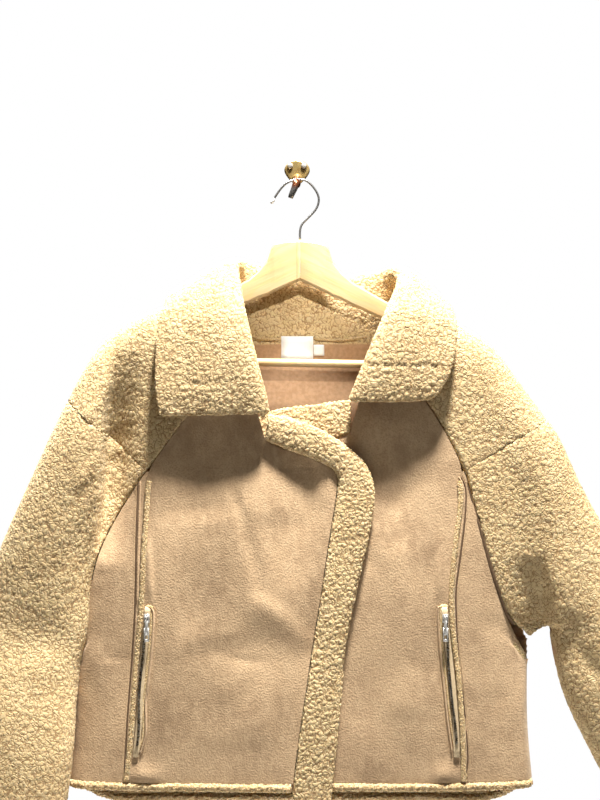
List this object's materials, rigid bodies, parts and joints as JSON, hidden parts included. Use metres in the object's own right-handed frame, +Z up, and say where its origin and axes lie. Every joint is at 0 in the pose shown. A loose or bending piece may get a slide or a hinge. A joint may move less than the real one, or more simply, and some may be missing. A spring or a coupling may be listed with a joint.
{
  "type": "cropped fleece jacket on a wooden hanger and a wall hook",
  "caption": "Cropped jacket with curly fleece collar, yokes, sleeves and edges and suede-look fronts, hung on a wooden hanger from a brass wall hook.",
  "frame": {"origin": "the middle of the wall hook's back face, where it meets the wall", "axes": "+X to the jacket's left side as worn, +Y into the wall, +Z up; the jacket's front faces -Y"},
  "size_m": [0.93, 0.104, 0.822],
  "materials": {
    "pile": "curly fleece pile",
    "suede": "brushed suede-look cloth",
    "zip_tape": "woven tape",
    "zip_metal": "bright nickel",
    "label": "satin",
    "wood": "clear lacquer",
    "wire": "bright wire",
    "brass": "polished",
    "screw": "bright nickel"
  },
  "bodies": {
    "jacket": {"front_panel_right": "suede", "front_panel_left": "suede", "side_panel_right": "suede", "side_panel_left": "suede", "back_panel": "pile", "shoulder_right": "pile", "shoulder_left": "pile", "sleeve_right": "pile", "sleeve_left": "pile", "collar": "pile", "front_band_right": "pile", "front_band_left": "pile", "hem_trim": "pile", "seam_trim_right": "pile", "seam_trim_left": "pile", "zip_right": "zip_tape", "zip_left": "zip_tape", "zip_slider_right": "zip_metal", "zip_slider_left": "zip_metal", "label_main": "label", "label_size": "label", "hanger_arm_right": "wood", "hanger_arm_left": "wood", "hanger_bar": "wood", "hanger_hook": "wire", "wall_hook": "brass", "wall_screw_right": "screw", "wall_screw_left": "screw"},
    "zip_pull_right": {"zip_pull_right": "zip_metal"},
    "zip_pull_left": {"zip_pull_left": "zip_metal"}
  },
  "joints": [
    {"name": "zip_pull_right_swing", "type": "hinge", "parent": "jacket", "child": "zip_pull_right", "pos_m": [-0.17123, -0.07618, -0.52], "axis": [-1, 0, 0], "range_deg": [0, 170]},
    {"name": "zip_pull_left_swing", "type": "hinge", "parent": "jacket", "child": "zip_pull_left", "pos_m": [0.16923, -0.07627, -0.52], "axis": [-1, 0, 0], "range_deg": [0, 170]}
  ]
}
